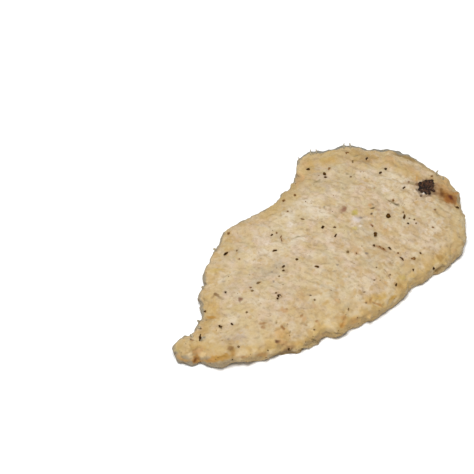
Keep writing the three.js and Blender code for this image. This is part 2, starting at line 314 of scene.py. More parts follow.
# Broad washes of colour in the crust, browner where it's thin and paler where the flour lies thick: where
# the camera sees each, its length and width, its turn from level, its colour and its strength.
AMBER = (192, 138, 56)
STRAW = (197, 159, 90)
BRAN = (170, 136, 84)
FLOUR = (221, 206, 180)
ASH = (188, 171, 143)
SCORCHED = (146, 96, 44)
FLAX = (208, 182, 132)
WASHES = [
    (325, 313, 90, 24, 25, FLAX, 0.6), (262, 330, 60, 22, 8, FLAX, 0.5), (408, 272, 60, 20, 38, FLAX, 0.6),
    (450, 236, 44, 18, 80, FLAX, 0.45), (212, 302, 44, 18, 80, FLAX, 0.45),
    (216, 268, 34, 16, 60, FLAX, 0.2), (228, 248, 40, 14, 50, ASH, 0.3), (300, 275, 40, 20, 10, FLAX, 0.25),
    (205, 348, 60, 22, 5, FLAX, 0.45), (252, 308, 24, 16, 0, FLAX, 0.4), (308, 166, 26, 12, 60, STRAW, 0.6),
    (330, 160, 34, 10, 15, STRAW, 0.6), (360, 157, 28, 13, -5, BRAN, 0.8),
    (371, 158, 12, 7, -10, BRAN, 0.9), (350, 151, 24, 5, 0, BRAN, 0.5), (385, 162, 24, 12, -10, STRAW, 0.5),
    (405, 169, 30, 12, -30, STRAW, 0.6), (425, 179, 26, 10, -35, STRAW, 0.7),
    (440, 188, 28, 10, -25, SCORCHED, 0.7), (451, 197, 17, 15, -50, SCORCHED, 0.9),
    (426, 186, 24, 20, 0, SCORCHED, 0.5), (457, 232, 26, 9, 90, STRAW, 0.25),
    (446, 254, 26, 13, 50, STRAW, 0.45), (426, 268, 26, 14, 35, STRAW, 0.4),
    (408, 280, 22, 12, 35, STRAW, 0.35), (378, 299, 30, 11, 10, STRAW, 0.8),
    (344, 319, 16, 12, 80, BRAN, 0.45), (354, 322, 20, 8, 25, STRAW, 0.6),
    (371, 312, 20, 8, 30, STRAW, 0.3), (325, 332, 20, 8, 20, STRAW, 0.5), (300, 341, 16, 8, 20, BRAN, 0.5),
    (283, 332, 18, 13, 70, STRAW, 0.9), (278, 345, 14, 8, 10, AMBER, 0.6),
    (255, 350, 20, 8, 10, STRAW, 0.4), (209, 299, 13, 16, 0, STRAW, 0.3),
    (214, 311, 18, 15, 80, STRAW, 0.5), (207, 323, 13, 8, 40, BRAN, 0.6), (200, 348, 26, 14, 0, STRAW, 0.6),
    (214, 358, 30, 8, 5, AMBER, 0.9), (225, 344, 36, 14, 5, BRAN, 0.35),
    (380, 249, 34, 14, -15, BRAN, 0.35), (412, 262, 16, 10, 30, BRAN, 0.3),
    (232, 346, 16, 10, 50, BRAN, 0.7), (204, 331, 16, 9, 30, BRAN, 0.5), (180, 351, 14, 14, 0, STRAW, 0.3),
    (386, 232, 22, 8, -35, STRAW, 0.35), (396, 247, 26, 8, -25, STRAW, 0.3),
    (352, 250, 14, 10, -10, STRAW, 0.4), (316, 246, 16, 8, 0, STRAW, 0.3),
    (270, 214, 24, 8, 38, STRAW, 0.5), (300, 297, 15, 11, 10, STRAW, 0.5),
    (290, 311, 14, 10, 60, STRAW, 0.4), (378, 207, 20, 10, -40, BRAN, 0.3),
    (294, 194, 24, 10, 40, FLOUR, 0.6), (343, 209, 10, 10, 0, BRAN, 0.5),
    (392, 180, 28, 16, -15, FLOUR, 0.8), (412, 190, 20, 9, -10, FLOUR, 0.6),
    (303, 207, 40, 14, 15, FLOUR, 0.8), (322, 213, 18, 12, 20, FLOUR, 0.6),
    (283, 222, 26, 14, 35, FLOUR, 0.8), (262, 233, 18, 12, 30, FLOUR, 0.7),
    (296, 237, 22, 16, 10, FLOUR, 0.7), (268, 253, 40, 14, 10, FLOUR, 0.7),
    (247, 259, 20, 13, 0, FLOUR, 0.5), (432, 229, 20, 16, 0, FLOUR, 0.5), (330, 290, 24, 10, 0, FLOUR, 0.4),
    (357, 301, 14, 12, 60, FLOUR, 0.5), (254, 301, 28, 16, -10, FLOUR, 0.4),
    (232, 320, 16, 10, 0, FLOUR, 0.25), (226, 276, 18, 12, 0, FLOUR, 0.4),
    (330, 195, 20, 10, 10, FLOUR, 0.3), (365, 284, 16, 12, 20, FLOUR, 0.3),
    (415, 248, 20, 12, -10, FLOUR, 0.3), (364, 229, 32, 14, -65, ASH, 0.6),
    (346, 240, 20, 10, -20, ASH, 0.3), (398, 216, 24, 12, -40, ASH, 0.5), (413, 229, 20, 12, -20, ASH, 0.5),
    (280, 236, 16, 8, -50, ASH, 0.7), (271, 270, 30, 12, 30, ASH, 0.9), (256, 283, 24, 10, 15, ASH, 0.5),
    (230, 287, 16, 14, 0, ASH, 0.4), (236, 252, 15, 10, 0, ASH, 0.6), (316, 172, 18, 12, -20, ASH, 0.5),
    (322, 186, 16, 12, -30, ASH, 0.5), (348, 305, 14, 8, 60, ASH, 0.6), (426, 206, 24, 9, -35, ASH, 0.3),
    (372, 262, 18, 14, 0, ASH, 0.3), (239, 335, 16, 16, 0, (190, 170, 150), 0.6),
]

# Stains in the crust, in the same terms, with some marks of painted light and shade among them.
CREAM = (232, 220, 208)
TAN = (197, 160, 110)
GOLD = (198, 150, 76)
HONEY = (192, 172, 84)
TOAST = (162, 114, 60)
UMBER = (120, 78, 42)
OLIVE = (142, 126, 86)
GREY = (128, 114, 100)
MAUVE = (146, 104, 76)
STAINS = [
    (448, 196, 26, 14, -38, (188, 136, 64), 0.6), (446.5, 195.5, 18, 8, -38, (142, 90, 20), 0.8),
    (454, 193.5, 8, 5, -40, (176, 126, 60), 0.8), (455.5, 197, 4, 4, 0, (146, 98, 40), 0.8),
    (450, 199, 12, 6.4, -36, (144, 84, 16), 0.9), (441.8, 194.3, 6, 7, -10, (104, 60, 2), 0.9),
    (441.5, 189.7, 3.6, 3.6, 0, (116, 80, 30), 0.9), (454.5, 201, 5, 5, 0, (158, 104, 54), 0.8),
    # The pale mark at (299, 167) is painted light on the wall of the shoulder's left edge, which turns from
    # the lamp.
    (447.5, 205.5, 11, 6, -20, (182, 150, 106), 0.6), (299, 167, 8, 22, -5, (220, 192, 142), 0.7),
    (302.5, 177, 5, 8, 10, (214, 168, 116), 0.5), (297, 184, 5, 7, 0, (206, 168, 116), 0.7),
    (450.6, 197, 7, 3.2, -48, (92, 32, 0), 1), (428, 195, 10, 4, 0, (172, 148, 122), 0.5),
    (426.5, 186.5, 15, 13, 0, (44, 26, 16), 1), (435, 187, 6, 7, 0, (158, 124, 88), 0.8),
    # The dark marks at (418.6, 191.4), (430, 195), (434, 191) and (435.5, 193.5) are partly brown stain and
    # partly painted shade at the foot of the burnt clump.
    (427, 180, 10, 4, 10, (140, 108, 72), 0.6), (418.6, 191.4, 6, 4.4, -40, (104, 82, 58), 0.8),
    (430, 195, 12, 4.6, 8, (134, 104, 74), 0.6), (434, 191, 3.4, 3.4, 0, (84, 48, 18), 0.9),
    (435.5, 193.5, 4.4, 4, 0, (116, 82, 48), 0.7), (439, 197, 7, 4, -45, (158, 122, 74), 0.6),
    (441.5, 200.5, 5, 4.6, -30, (160, 128, 86), 0.6), (418, 184.5, 5, 2.4, 15, UMBER, 0.9),
    (412, 183.5, 9, 2.6, -8, OLIVE, 0.6), (408.5, 181.8, 2.6, 1.8, -40, UMBER, 0.8),
    (423.5, 193.4, 4, 1.8, 30, CREAM, 1), (416.8, 178, 2.6, 5, 0, GOLD, 0.8),
    (424, 172, 10, 6, -30, (212, 184, 150), 0.6), (446, 184, 16, 8, -50, (206, 166, 108), 0.6),
    (462, 225, 10, 22, 0, (216, 196, 154), 0.6), (343.7, 209.3, 7, 6.4, 0, MAUVE, 0.95),
    (354.8, 212.3, 7, 5.6, 60, HONEY, 0.85), (353.3, 214.3, 4, 2.4, -40, (168, 146, 84), 0.7),
    (354.8, 228.3, 8, 4, 0, HONEY, 0.6), (356.7, 219.5, 10, 6, 0, (216, 202, 192), 0.8),
    (360.5, 225.8, 4, 2, -10, (228, 214, 196), 0.8), (348, 221.3, 7, 4, 0, (186, 154, 98), 0.6),
    (378.8, 210, 5, 4, 0, (178, 146, 120), 0.6), (370.5, 205.5, 3.4, 7, 0, TAN, 0.6),
    (373, 204.3, 4, 1.8, -25, (136, 114, 78), 0.7), (372.6, 208, 5.5, 1.9, 24, (78, 58, 30), 1),
    (369, 205, 4, 4, 0, (198, 150, 98), 0.6), (371.5, 213.8, 2.6, 2.4, 0, (96, 72, 44), 1),
    (381, 248.3, 14, 2.6, -22, (156, 116, 80), 0.7), (371.5, 225, 3.4, 3, 0, (150, 104, 84), 0.8),
    (366.5, 253, 4, 3, 0, GREY, 0.8), (343, 188.5, 4, 4, 0, OLIVE, 0.5),
    (324.5, 207, 2.4, 2.4, 0, GREY, 0.7), (297.5, 236.7, 6, 2.4, 15, OLIVE, 0.7),
    (361, 217.5, 6, 2, 10, GREY, 0.7), (317, 181.5, 9, 2, 20, OLIVE, 0.7),
    (435, 209.4, 3.4, 2.8, 0, UMBER, 0.8), (421, 196, 3, 2.6, 0, (84, 72, 60), 0.8),
    (431.3, 202.2, 2, 2, 0, UMBER, 0.6), (446.5, 227.7, 5, 3.4, 0, (168, 138, 88), 0.7),
    (446.3, 237.3, 3, 2, 0, OLIVE, 0.5), (216, 294.4, 5.4, 3.6, -20, (130, 96, 50), 0.95),
    (240.4, 298.8, 5, 4.6, 20, (132, 92, 64), 1), (220.5, 298, 9, 3.4, -34, (158, 128, 90), 0.6),
    (213, 296.8, 6, 3.2, 50, (158, 124, 78), 0.6), (228.5, 339, 2.6, 3, 90, GREY, 0.6),
    (230.5, 348.3, 6, 5, 20, (142, 104, 56), 0.85), (356, 156, 8, 2, 10, OLIVE, 0.7),
    (347.3, 174, 4, 2, 0, OLIVE, 0.7), (354, 174.5, 3, 1.8, 0, OLIVE, 0.6),
    (356.5, 168.8, 3, 2, 0, OLIVE, 0.4), (374, 187.8, 3.6, 2.6, 0, TOAST, 0.6),
    (261, 258.5, 3, 2.4, 0, GREY, 0.5), (258.8, 268, 3, 2.4, 0, MAUVE, 0.5),
    (272.3, 271.8, 2.4, 2.4, 0, GREY, 0.7), (273.5, 281.2, 3, 2.4, 40, GREY, 0.7),
    (223.8, 281.8, 5, 2, 10, GREY, 0.5), (337.6, 264.8, 3.6, 2.6, 0, GREY, 0.7),
    (348.8, 276.5, 4, 3.4, 0, OLIVE, 0.6), (334.5, 271, 6, 2, 0, GREY, 0.5),
    (385.5, 271, 6, 1.3, -50, UMBER, 0.6), (389.5, 277.5, 7, 1.3, -68, UMBER, 0.6),
    (385, 283, 7, 5, -30, (200, 158, 96), 0.6), (392.5, 202.5, 14, 2.2, -22, OLIVE, 0.8),
    (397, 204.5, 6, 2, -16, (92, 76, 52), 0.7), (385, 230, 8, 4, 25, TAN, 0.7),
    (356, 250, 11, 9, -20, TAN, 0.6), (402, 277, 10, 6, 0, (204, 178, 100), 0.6),
    (400, 286, 10, 6, -20, (178, 140, 78), 0.7), (440, 258, 9, 7, -50, (168, 128, 62), 0.7),
    (454, 251, 8, 5, 50, TAN, 0.6), (437, 271, 12, 4, 35, GOLD, 0.5), (302, 293, 3, 9, 10, TAN, 0.7),
    (280, 334, 14, 14, 60, (206, 164, 104), 0.6), (263, 323.4, 10, 3, 5, (164, 122, 72), 0.9),
    (263, 327, 6, 3.4, 0, (178, 138, 92), 0.8), (276.3, 323, 3.6, 2, 60, (148, 122, 72), 0.8),
    (277, 341.4, 6.4, 3.8, 0, (92, 46, 0), 1), (286.4, 342, 3, 2, 0, (150, 112, 60), 0.8),
    (283, 343.5, 12, 6, -10, (196, 152, 98), 0.6), (290, 332, 4, 2, 40, (152, 126, 78), 0.7),
    (283, 327.6, 7, 3, -42, (148, 102, 46), 0.95), (284, 310.5, 9, 6, -25, (196, 154, 104), 0.7),
    (286.6, 309, 2, 2, 0, (140, 110, 66), 0.8), (301.8, 315.6, 6, 2.6, 50, (152, 112, 62), 0.85),
    (304, 319, 7, 6, 60, (200, 158, 104), 0.65), (306, 325, 3, 2.4, 0, (160, 124, 74), 0.7),
    (297.5, 309, 6, 3, 20, (174, 142, 100), 0.7), (303, 305, 3, 6, -40, (176, 150, 118), 0.6),
    (316.5, 321.4, 4, 3, 0, (160, 116, 64), 0.8), (319, 324, 5, 4, -40, (194, 150, 100), 0.6),
    (314, 306, 8, 5, 0, (192, 156, 112), 0.6), (337, 301, 7, 7, 0, (206, 162, 110), 0.6),
    (326, 303, 12, 5, 20, (190, 156, 92), 0.7), (288.5, 349, 7, 5, 0, (168, 132, 84), 0.6),
    (262, 355, 16, 5, 10, (172, 128, 74), 0.7), (244, 357, 14, 4, 0, (186, 138, 84), 0.6),
    (232.5, 353, 5, 8, 0, (190, 142, 76), 0.6), (330, 329, 12, 8, 20, (222, 194, 144), 0.6),
    (300, 343, 18, 6, 12, (200, 160, 88), 0.6), (284, 352.5, 34, 5, 8, (136, 108, 66), 0.75),
    (318, 341.5, 18, 3.6, 28, (142, 120, 84), 0.6), (358, 322, 36, 9, 28, (216, 178, 120), 0.4),
    (318, 337, 8, 4, 20, (198, 164, 122), 0.4), (393.5, 297.5, 9, 5, 35, (194, 152, 72), 0.8),
    (370.8, 300, 8, 2.6, 80, (166, 124, 68), 0.7), (378.5, 304.6, 14, 2.6, -24, (180, 132, 70), 0.7),
    (369.5, 313, 10, 5, 30, (204, 166, 104), 0.7), (342, 324.8, 6, 6, 0, (184, 128, 34), 1),
    (344.5, 317.4, 6, 5, 20, (170, 124, 66), 0.7), (368, 303, 12, 5, -5, (190, 150, 90), 0.7),
    (343, 321, 9, 14, 0, (200, 156, 96), 0.5), (354, 321, 12, 6, 25, (194, 150, 88), 0.7),
    (290, 345, 14, 5, 5, TAN, 0.5), (322, 335, 12, 6, 10, TAN, 0.5),
    (217, 270, 17, 5, 4, (200, 170, 104), 0.8), (211, 317.3, 11, 3, -8, (182, 136, 62), 1),
    (221, 357.5, 24, 6, 8, (178, 134, 56), 0.9), (210, 361, 9, 4.4, -8, (208, 152, 76), 0.9),
    (197.5, 351, 12, 4, 15, (206, 154, 92), 0.8), (196.5, 358.5, 8, 9, 0, (180, 130, 62), 0.9),
    # The cream marks at (190, 355) and (203.5, 355) are painted highlight on the tops of the knob and the
    # roll, and the dark brown pit at (195.6, 360.3) is painted shade in the crease between them.
    (190, 355, 6.4, 7.4, 0, (236, 210, 162), 0.85), (203.5, 355, 5.4, 8, 0, (230, 200, 146), 0.85),
    (195.6, 360.3, 4, 3.4, 0, (126, 76, 20), 1), (200, 350, 10, 7, 60, TAN, 0.7),
    (177, 350, 6, 5, 0, (200, 176, 100), 0.5), (178, 356, 8, 4, -30, TAN, 0.6),
    (184, 360, 14, 4, -15, GOLD, 0.7), (202, 363.5, 26, 4, 4, (206, 156, 76), 0.6),
    (192.5, 340.3, 5, 2.4, 0, TOAST, 0.6), (212, 306, 8, 4, 0, GOLD, 0.4),
    (322, 160, 9, 4, 20, (198, 168, 96), 0.5), (390, 158, 13, 8, -20, TAN, 0.7),
    (371, 159, 8, 5, 0, TAN, 0.5), (410, 168, 16, 6, -35, TAN, 0.6),
    (405, 157, 34, 4, -26, (152, 122, 68), 0.8), (436, 174, 20, 4, -36, (164, 138, 96), 0.5),
    (305, 163, 8, 8, 40, TAN, 0.6), (300, 180, 8, 10, 40, TAN, 0.6), (238, 240, 10, 5, 40, TAN, 0.5),
    (251, 311, 4, 4, 0, (204, 176, 108), 0.5), (290, 224, 12, 8, 0, CREAM, 0.5),
    (268, 242, 10, 7, 0, CREAM, 0.4), (330, 240, 10, 6, 0, CREAM, 0.4), (352, 188, 16, 6, 10, CREAM, 0.35),
    (385, 190, 12, 8, -10, CREAM, 0.5), (412, 192, 10, 8, 0, CREAM, 0.2),
    (226, 317, 12, 4, 10, CREAM, 0.12), (230, 306, 8, 4, 0, CREAM, 0.4), (287, 300, 8, 5, 0, CREAM, 0.4),
]

# The marks' outlines wander by noise with coarse and fine cells.
SEED = 5
COARSE_CELL = 2 * MM
FINE_CELL = 0.9 * MM
FINE_SHARE = 0.9
RAGGEDNESS = 0.09 * MM  # how far an outline wanders, for each pixel of the mark's width
noise.seed_set(SEED)
wander = np.array([noise.noise_vector(Vector(place) / COARSE_CELL) for place in places])
wander += FINE_SHARE * np.array([noise.noise_vector(Vector(place) / FINE_CELL) for place in places])
layers = {}


def paint(name, marks):
    """Paints marks on the points of the crust, and keeps their strength beside the colour."""
    if name not in layers:
        crust.data.attributes.new(name, "FLOAT_COLOR", "POINT")
        layers[name] = np.zeros((len(places), 4), np.float32)
    paints = layers[name]
    for *mark, colour, strength in marks:
        share = strength * cover(mark, places + wander * (RAGGEDNESS * mark[3]))
        total = share + paints[:, 3] * (1 - share)
        mix = np.divide(share, total, out=np.zeros_like(share), where=total > 0)[:, None]
        paints[:, :3] += (np.array(shown(*colour)[:3]) - paints[:, :3]) * mix
        paints[:, 3] = total
    crust.data.attributes[name].data.foreach_set("color", paints.ravel())


paint("wash", WASHES)
paint("stain", STAINS)


class Wire:
    """A socket in a material. Sums and products of wires add Math nodes, and node() adds any other node."""

    def __init__(self, tree, socket=None):
        self.tree = tree
        self.socket = socket

    def node(self, kind, settings, inputs, output=0):
        made = self.tree.nodes.new(kind)
        for name, value in settings.items():
            setattr(made, name, value)
        for name, value in inputs.items():
            if isinstance(value, Wire):
                self.tree.links.new(value.socket, made.inputs[name])
            else:
                made.inputs[name].default_value = value
        return Wire(self.tree, made.outputs[output])

    def maths(self, operation, first, second):
        return self.node("ShaderNodeMath", {"operation": operation}, {0: first, 1: second})

    def __add__(self, other):
        return self.maths("ADD", self, other)

    def __mul__(self, other):
        return self.maths("MULTIPLY", self, other)

    def __sub__(self, other):
        return self.maths("SUBTRACT", self, other)

    def __rsub__(self, other):
        return self.maths("SUBTRACT", other, self)

    __radd__ = __add__
    __rmul__ = __mul__


def clouds(place, cell, seed, detail=1):
    """Soft noise about 0.5 with cells of this size."""
    inputs = {"Vector": place, "W": seed, "Scale": 1 / cell, "Detail": detail}
    return place.node("ShaderNodeTexNoise", {"noise_dimensions": "4D"}, inputs)


def over(value, low, high):
    """0 where the value is at low, 1 at high, and smooth in between."""
    inputs = {"Value": value, "From Min": low, "From Max": high}
    return value.node("ShaderNodeMapRange", {"interpolation_type": "SMOOTHSTEP"}, inputs)


def tinted(share, first, second):
    """The first colour turning into the second as the share goes from 0 to 1."""
    return share.node("ShaderNodeMix", {"data_type": "RGBA"}, {0: share, 6: first, 7: second}, 2)


def new_material(piece, name):
    """A material on the piece, its shader, and a wire with the place of each point of the piece."""
    material = bpy.data.materials.new(name)
    material.use_nodes = True
    piece.data.materials.clear()
    piece.data.materials.append(material)
    shader = material.node_tree.nodes["Principled BSDF"]
    place = Wire(material.node_tree).node("ShaderNodeTexCoord", {}, {}, "Object")
    return shader, place


def attribute(place, name, output="Fac"):
    return place.node("ShaderNodeAttribute", {"attribute_name": name}, {}, output)


def feed(shader, socket, wire):
    wire.tree.links.new(wire.socket, shader.inputs[socket])


shader, place = new_material(crust, "floured_crust")
wrinkle_place = place.node("ShaderNodeUVMap", {"uv_map": "wrinkles"}, {})
from_rim = attribute(place, "inside")
crease = attribute(place, "crease")
stain_share = attribute(place, "stain", "Alpha")

broad = clouds(place, 8 * MM, 0.3)
patchy = clouds(wrinkle_place, 3 * MM, 1.7)
blotchy = clouds(place, 1.6 * MM, 2.9)
freckled = clouds(wrinkle_place, 0.7 * MM, 5.3, 2)
grainy = clouds(place, 0.35 * MM, 4.1, 2)

# Flour, paler where it lies thick and tan where it's thin, with the washes over it.
toned = over(broad + clouds(place, 3 * MM, 4.4), 0.8, 1.2)
colour = tinted(toned, shown(205, 186, 147), shown(212, 187, 159))
colour = tinted(over(patchy, 0.48, 0.7) * 0.7, colour, shown(219, 202, 175))
colour = tinted(over(patchy, 0.5, 0.3) * 0.6, colour, shown(192, 168, 126))
colour = tinted(over(clouds(place, 2.2 * MM, 7.7), 0.55, 0.7) * 0.45, colour, shown(188, 172, 150))
colour = tinted(over(blotchy, 0.45, 0.3) * 0.55, colour, shown(184, 159, 125))
washed = attribute(place, "wash", "Alpha") * over(patchy + blotchy, 0.5, 1.3) * 1.6
colour = tinted(washed, colour, attribute(place, "wash", "Color"))
# Browning, strongest along the rim and on the near side, and weakest at the broad end, with painted shade
# and painted light along the rim.
along_fillet = place.node("ShaderNodeSeparateXYZ", {}, {0: place}, "X")
across_fillet = place.node("ShaderNodeSeparateXYZ", {}, {0: place}, "Y")
near_side = over(across_fillet, 12 * MM, -12 * MM)
far_side = over(along_fillet + across_fillet * 0.8, 20 * MM, 45 * MM)
broad_end = over(along_fillet, 15 * MM, 55 * MM)
wandering = (clouds(place, 5 * MM, 6.1) - 0.5) * (10 * MM)
by_rim = over(from_rim + wandering, 9 * MM - near_side * (4 * MM), 1 * MM)
browned = (0.22 + near_side * 0.48 + far_side * 0.25) * (1 - broad_end * 0.5)
colour = tinted(by_rim * browned, colour, shown(210, 175, 100))
# Along the far rim the crust is browner, and darker again as painted shade where the rim turns from the
# lamp.
far_browning_and_shade = over(from_rim, 13 * MM, 2 * MM) * far_side * (1 - broad_end * 0.7)
colour = tinted(far_browning_and_shade * 0.6, colour, shown(184, 157, 102))
# Painted light: the rim at the broad end is paled where its curve turns from the lamp.
colour = tinted(over(from_rim, 8 * MM, 3 * MM) * broad_end * 0.3, colour, shown(216, 192, 146))
baked = over(clouds(place, 2.6 * MM, 15.2) + clouds(place, 1.3 * MM, 16.8) * 0.5, 0.78, 0.98)
colour = tinted(baked * (0.25 + near_side * 0.45), colour, shown(186, 153, 104))
dusting = clouds(place, 3.2 * MM, 31.7)
colour = tinted(over(dusting, 0.5, 0.68) * near_side * 0.6, colour, shown(194, 163, 112))
colour = tinted(over(dusting, 0.5, 0.34) * near_side * 0.5, colour, shown(220, 202, 170))
gilded = over(clouds(place, 4.5 * MM, 21.3), 0.46, 0.64) * (1 - near_side * 0.5)
colour = tinted(gilded * 0.4, colour, shown(206, 178, 118))
golden = over(clouds(place, 1.9 * MM, 12.6) + by_rim * 0.14, 0.58, 0.75)
colour = tinted(golden * 0.55, colour, shown(194, 159, 98))
# Painted shade: a thin grey line along the very edge of the rim where it turns from the light, except on the
# near side, wider and darker past the shoulder and at the broad end.
past_shoulder = over(along_fillet, 32 * MM, 42 * MM) * far_side
edge = over(from_rim - past_shoulder * (1.8 * MM), 1.2 * MM, 0.4 * MM)
edge_shade_strength = (1 - near_side) * (0.68 + past_shoulder * 0.2) + broad_end * 0.2
colour = tinted(edge * edge_shade_strength, colour, shown(143, 137, 122))
# Painted shade darkens the creases; then come fine specks, the stains over them, and grain in all of it.
creased = over(crease, 0.02 * MM, 0.14 * MM) * over(clouds(place, 4 * MM, 3.9), 0.35, 0.6)
colour = tinted(creased * 0.45, colour, shown(162, 138, 104))
specked = over(clouds(wrinkle_place, 0.8 * MM, 9.7), 0.6, 0.74) * over(broad, 0.3, 0.6) * (1 - by_rim * 0.5)
colour = tinted(specked * 0.55, colour, shown(150, 122, 88))
broken = over(stain_share + (freckled - 0.5) * 0.6, 0.05, 0.75)
colour = tinted(broken * (0.4 + stain_share * 0.6), colour, attribute(place, "stain", "Color"))
colour = colour.node("ShaderNodeMix", {"data_type": "RGBA", "blend_type": "MULTIPLY"}, {
    0: 1, 6: colour, 7: 0.83 + grainy * 0.1 + freckled * 0.24,
}, 2)
feed(shader, "Base Color", colour)
feed(shader, "Roughness", 0.6 + patchy * 0.2)
bump = {"Strength": 0.4, "Distance": 0.12 * MM, "Height": grainy + freckled}
feed(shader, "Normal", place.node("ShaderNodeBump", {}, bump, "Normal"))
shader.inputs["Specular IOR Level"].default_value = 0.35
shader.inputs["Subsurface Weight"].default_value = 0.08
shader.inputs["Subsurface Radius"].default_value = (1, 0.9, 0.8)
shader.inputs["Subsurface Scale"].default_value = 0.8 * MM
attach(crust, "root")
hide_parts("breaded_tenderloin")

# Cracked black pepper, pressed into the coating: angular chips that stand out of it by part of a millimetre.
# Here are the ones that the camera sees, with their length, width and turn from level. The dusted ones lie
# under a breath of flour and show paler.
PEPPER = [
    (322.8, 226.9, 3.2, 2.4, 30), (335, 227.2, 3.6, 1.6, 0), (271.8, 235, 3, 2, 30),
    (274.5, 250.6, 5, 2, 12), (296.8, 259.3, 2.8, 2, 0), (385.8, 168.6, 3, 2.4, 20),
    (380.5, 172.3, 3, 2, 20), (404, 187.5, 3.4, 1.7, 30), (457.3, 207.5, 4, 2, -30),
    (404.3, 216.8, 4.6, 2.2, 75), (414.5, 219.5, 1.8, 1.6, 0), (408.4, 223.4, 2.6, 1.6, -30),
    (225.5, 291.9, 2.2, 2.2, 0), (219.6, 326.3, 4, 2.3, -20), (231.9, 324, 3, 1.8, -40),
    (200, 337.5, 6.4, 3.2, 88), (288.9, 349.3, 3, 2.4, 0), (205, 311.5, 2.6, 2.2, 0),
    (335.4, 235.9, 5, 1.8, 62), (232.3, 359.5, 1.6, 1.4, 0), (310.5, 295.4, 1.9, 1.9, 0),
    (396, 284.6, 3.4, 2, 85), (308, 169.2, 4.4, 2.2, 0), (324.2, 173.9, 3.4, 3.4, 0),
    (325.5, 177.2, 3.5, 1.5, -10), (366.7, 158.4, 2.8, 2.6, 0), (226.3, 253.1, 5.6, 2, 25),
    (282.8, 267, 5, 2, 35), (283.2, 270.3, 2.6, 2, 0), (317, 266.6, 5.6, 2.4, -10),
    (279, 295.4, 3.6, 2.6, 0), (277.6, 298.4, 2, 2, 0), (375.4, 234.2, 4.2, 3.6, 80),
    (374.2, 245.5, 3.6, 1.8, -50), (389.4, 248.2, 4, 2, -40), (401.6, 258.6, 5.2, 2.3, -38),
    (420.2, 253, 2.6, 1.8, -30), (413.2, 270, 2.8, 2, 90), (433.9, 268.3, 3, 2.8, 0),
    (421, 196, 1.6, 1.2, 0),
]
DUSTED = [
    (302.5, 219, 4, 1.5, -15), (347.8, 251.8, 3, 2.5, 0), (403.3, 212.3, 2, 1.6, 0),
    (409.3, 218.3, 2, 1.5, 0), (416.2, 223.3, 2, 1.6, 0), (252.1, 290.7, 3, 2.2, 10),
    (246.8, 312.2, 2.3, 2, 0), (238, 346.3, 3.4, 2.6, -30), (190.8, 339.3, 2.4, 1.5, 0),
    (201, 328.5, 2, 1.4, 0), (267.8, 350.5, 1.8, 1.8, 0), (314.7, 299.7, 2.2, 2, 0),
    (364.5, 292.2, 2.6, 1.5, 0), (366, 303, 1.8, 1.6, 0), (348.6, 309.2, 2.6, 1.6, 90),
    (375, 279.9, 3.2, 1.3, 0), (314.5, 329.6, 2.2, 2, 0), (352.8, 161.5, 2.6, 1.8, 90),
    (236.8, 250.7, 2.2, 1.8, 0), (258.5, 282.6, 4.4, 1.6, 10), (279.2, 276.3, 1.6, 1.6, 0),
    (276.2, 292.7, 2.4, 2, 0), (376.5, 267.3, 1.8, 1.6, 0), (390.3, 274.5, 2.2, 1.8, 0),
    (350.8, 177, 2.2, 1.8, 0),
]
PEPPERCORN = (388.3, 215.8, 4.8, 4.4, 0)
PEPPER_HEIGHT = 0.35
CORN_HEIGHT = 0.7  # of the corn's half-width
CHIP_ROUGHNESS = 0.34
CORN_ROUGHNESS = 0.1


def chip_mesh(name, seed, roughness, subdivisions=2):
    """An angular chip about two units across."""
    bpy.ops.mesh.primitive_ico_sphere_add(subdivisions=subdivisions, radius=1)
    chip = bpy.context.object
    bpy.ops.object.mode_set(mode="EDIT")
    bpy.ops.mesh.select_all(action="SELECT")
    bpy.ops.transform.vertex_random(offset=roughness, uniform=0.6, normal=0.3, seed=seed)
    bpy.ops.object.mode_set(mode="OBJECT")
    mesh = chip.data.copy()
    mesh.name = name
    bpy.data.objects.remove(chip)
    return mesh


def lay(mesh, place, long_way, wide_way, thick_way):
    """A copy of a chip with its own mesh, spread along these three half-lengths."""
    chip = bpy.data.objects.new(mesh.name, mesh.copy())
    bpy.context.collection.objects.link(chip)
    spread = Matrix((long_way, wide_way, thick_way)).transposed().to_4x4()
    chip.data.transform(Matrix.Translation(place) @ spread)
    return chip


def joined(chips, name):
    bpy.ops.object.select_all(action="DESELECT")
    for chip in chips:
        chip.select_set(True)
    bpy.context.view_layer.objects.active = chips[0]
    bpy.ops.object.join()
    chips[0].name = name
    return chips[0]


def chip_at(number, mark, height):
    """A chip laid on the crust at a mark. Its height is given as a share of its smaller half-length."""
    place, long_way, wide_way, normal = patch(*mark)
    thick_way = normal * (height * min(long_way.length, wide_way.length))
    return lay(chip_meshes[number % len(chip_meshes)], place, long_way, wide_way, thick_way)


def halo(marks, spread, colour, strength):
    """Stains the crust round each of these marks."""
    paint("stain", [
        (x, y, length + spread, width + spread, turn, colour, strength)
        for x, y, length, width, turn in marks
    ])


flakes = PEPPER + DUSTED
halo(flakes, 2, UMBER, 0.35)
chips = []
chip_meshes = [chip_mesh(f"chip_{seed}", seed, CHIP_ROUGHNESS) for seed in range(1, 6)]
for number, mark in enumerate(flakes):
    chip = chip_at(number, mark, PEPPER_HEIGHT)
    keep_attribute(chip.data, "dusted", np.full(len(chip.data.vertices), mark in DUSTED))
    chips.append(chip)
place, long_way, wide_way, normal = patch(*PEPPERCORN)
thick_way = normal * wide_way.length * CORN_HEIGHT
chips.append(lay(chip_mesh("corn", 9, CORN_ROUGHNESS), place, long_way, wide_way, thick_way))

pepper = joined(chips, "pepper")
shader, place = new_material(pepper, "black_pepper")
mottled = clouds(place, 2.2 * MM, 3.3)
husk = clouds(place, 0.3 * MM, 7.1)
colour = tinted(over(mottled, 0.35, 0.65), shown(52, 31, 5), shown(84, 54, 14))
colour = tinted(over(husk, 0.55, 0.75) * 0.5, colour, shown(114, 86, 46))
colour = tinted(attribute(place, "dusted") * 0.75, colour, shown(136, 110, 72))
feed(shader, "Base Color", colour)
shader.inputs["Roughness"].default_value = 0.85
shader.inputs["Specular IOR Level"].default_value = 0.03
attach(pepper, "root")

